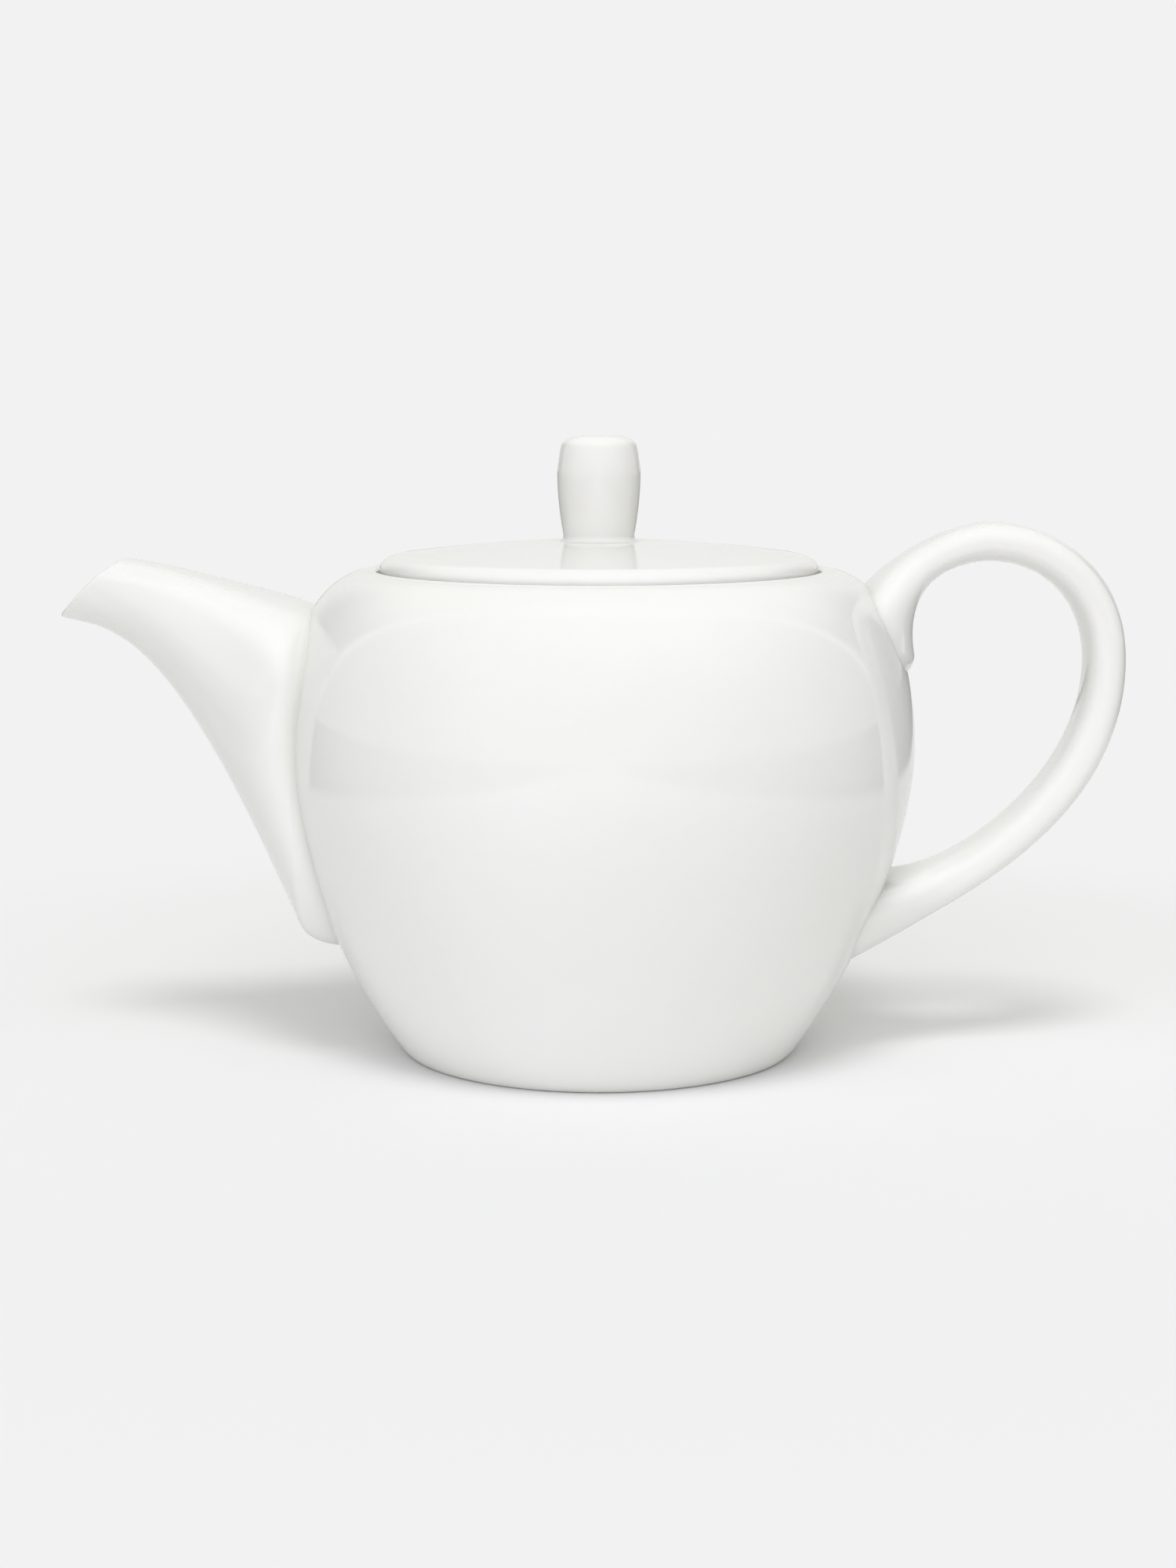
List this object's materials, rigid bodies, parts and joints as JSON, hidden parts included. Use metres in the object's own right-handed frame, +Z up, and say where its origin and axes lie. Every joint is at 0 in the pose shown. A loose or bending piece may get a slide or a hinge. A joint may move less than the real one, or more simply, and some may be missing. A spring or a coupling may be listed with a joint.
{
  "type": "teapot",
  "caption": "Round bone china teapot with a wide funnel spout, an oval loop handle and a recessed lift-off lid with a barrel knob.",
  "frame": {"origin": "centre of the foot ring, on the surface that the teapot stands on", "axes": "+Z up, -X towards the spout, +X towards the handle; the spout and handle lie in the XZ plane"},
  "size_m": [0.2401, 0.1428, 0.1392],
  "materials": {
    "glazed_bone_china": "white bone china under a clear, glossy glaze"
  },
  "bodies": {
    "pot": {"pot_body": "glazed_bone_china", "spout": "glazed_bone_china", "handle": "glazed_bone_china"},
    "cover": {"lid": "glazed_bone_china", "knob": "glazed_bone_china"}
  },
  "joints": [
    {"name": "lid_lift", "type": "slide", "parent": "pot", "child": "cover", "axis": [0, 0, 1], "range_m": [0, 0.06]}
  ]
}
